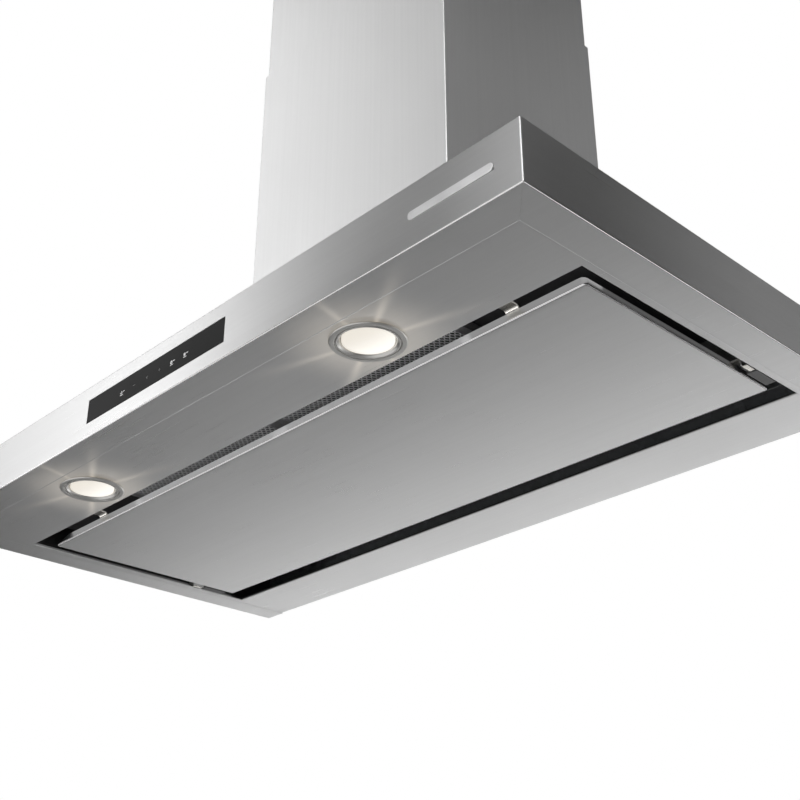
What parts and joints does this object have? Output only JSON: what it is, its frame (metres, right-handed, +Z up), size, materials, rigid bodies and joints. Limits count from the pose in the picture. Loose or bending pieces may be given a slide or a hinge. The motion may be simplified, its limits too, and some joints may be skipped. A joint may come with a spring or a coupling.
{
  "type": "chimney range hood",
  "caption": "Wall-mounted stainless chimney range hood: slim box canopy with touch control, lamps, hinged perimeter suction panel over mesh filters, and a telescoping chimney.",
  "frame": {"origin": "on the wall face of the rear plate, on the centre line, at mid-height of the canopy; the underside is 29 mm below it", "axes": "+Z up, +Y into the wall, -Y out of the wall towards the cook, +X to the right for someone facing the hood"},
  "size_m": [0.914, 0.4983, 0.902],
  "materials": {
    "stainless": "fine brushed stainless steel",
    "galvanised": "galvanised sheet steel",
    "aluminium": "plain aluminium",
    "satin_steel": "satin turned or pressed steel",
    "black_paint": "matte black paint on steel",
    "black_glass": "polished black glass",
    "lamp_lens": "frosted warm white lens",
    "circuit_board": "green circuit board",
    "black_plastic": "moulded black plastic",
    "grey_plastic": "moulded grey plastic"
  },
  "bodies": {
    "root": {"blower_box": "galvanised", "cable_gland": "black_plastic", "canopy_shell": "stainless", "catch_magnet_left": "satin_steel", "catch_magnet_right": "satin_steel", "control_board": "circuit_board", "control_glass": "black_glass", "control_holder": "black_plastic", "cover_foot_left": "galvanised", "cover_foot_right": "galvanised", "duct_collar": "galvanised", "fan_motor": "galvanised", "fan_scroll": "black_plastic", "filter_carrier": "black_paint", "filter_frame_left": "aluminium", "filter_frame_right": "aluminium", "filter_mesh_left": "aluminium", "filter_mesh_right": "aluminium", "filter_rail_front": "galvanised", "filter_rail_rear": "galvanised", "front_partition": "black_paint", "hinge_bracket_left": "stainless", "hinge_bracket_right": "stainless", "lamp_bezel_left": "satin_steel", "lamp_bezel_right": "satin_steel", "lamp_body_left": "aluminium", "lamp_body_right": "aluminium", "lamp_lens_left": "lamp_lens", "lamp_lens_right": "lamp_lens", "lamp_spring_left": "satin_steel", "lamp_spring_right": "satin_steel", "led_board_left": "circuit_board", "led_board_right": "circuit_board", "lower_chimney_cover": "stainless", "motor_bracket": "galvanised", "name_bar": "satin_steel", "rear_plate": "galvanised", "underside_pan": "stainless", "wall_hook_left": "galvanised", "wall_hook_right": "galvanised", "wiring_box": "grey_plastic", "wiring_box_lid": "grey_plastic"},
    "suction_panel": {"suction_panel": "stainless", "panel_stiffener": "galvanised", "hinge_ear_left": "galvanised", "hinge_ear_right": "galvanised", "hinge_pin_left": "satin_steel", "hinge_pin_right": "satin_steel", "catch_arm_left": "satin_steel", "catch_arm_right": "satin_steel"},
    "upper_chimney": {"upper_chimney_cover": "stainless", "ceiling_bracket": "galvanised", "cover_screw_left": "satin_steel", "cover_screw_right": "satin_steel"},
    "fan_wheel": {"fan_impeller": "black_plastic", "fan_shaft": "satin_steel"},
    "damper_front": {"damper_flap_front": "aluminium"},
    "damper_rear": {"damper_flap_rear": "aluminium"},
    "latch_left": {"filter_latch_left": "satin_steel"},
    "latch_right": {"filter_latch_right": "satin_steel"}
  },
  "joints": [
    {"name": "suction_panel_hinge", "type": "hinge", "parent": "root", "child": "suction_panel", "pos_m": [0, -0.151, -0.0185], "axis": [1, 0, 0], "range_deg": [0, 65]},
    {"name": "chimney_slide", "type": "slide", "parent": "root", "child": "upper_chimney", "axis": [0, 0, 1], "range_m": [-0.24, 0.21]},
    {"name": "fan_spin", "type": "hinge", "parent": "root", "child": "fan_wheel", "pos_m": [0, -0.101, 0.149], "axis": [1, 0, 0], "continuous": true},
    {"name": "damper_front_hinge", "type": "hinge", "parent": "root", "child": "damper_front", "pos_m": [0, -0.14, 0.287], "axis": [-1, 0, 0], "range_deg": [0, 75]},
    {"name": "damper_rear_hinge", "type": "hinge", "parent": "root", "child": "damper_rear", "pos_m": [0, -0.13, 0.287], "axis": [1, 0, 0], "range_deg": [0, 75]},
    {"name": "latch_left_slide", "type": "slide", "parent": "root", "child": "latch_left", "axis": [0, -1, 0], "range_m": [0, 0.0065], "stiffness_N_per_m": 400, "springref_m": -0.003},
    {"name": "latch_right_slide", "type": "slide", "parent": "root", "child": "latch_right", "axis": [0, -1, 0], "range_m": [0, 0.0065], "stiffness_N_per_m": 400, "springref_m": -0.003}
  ]
}
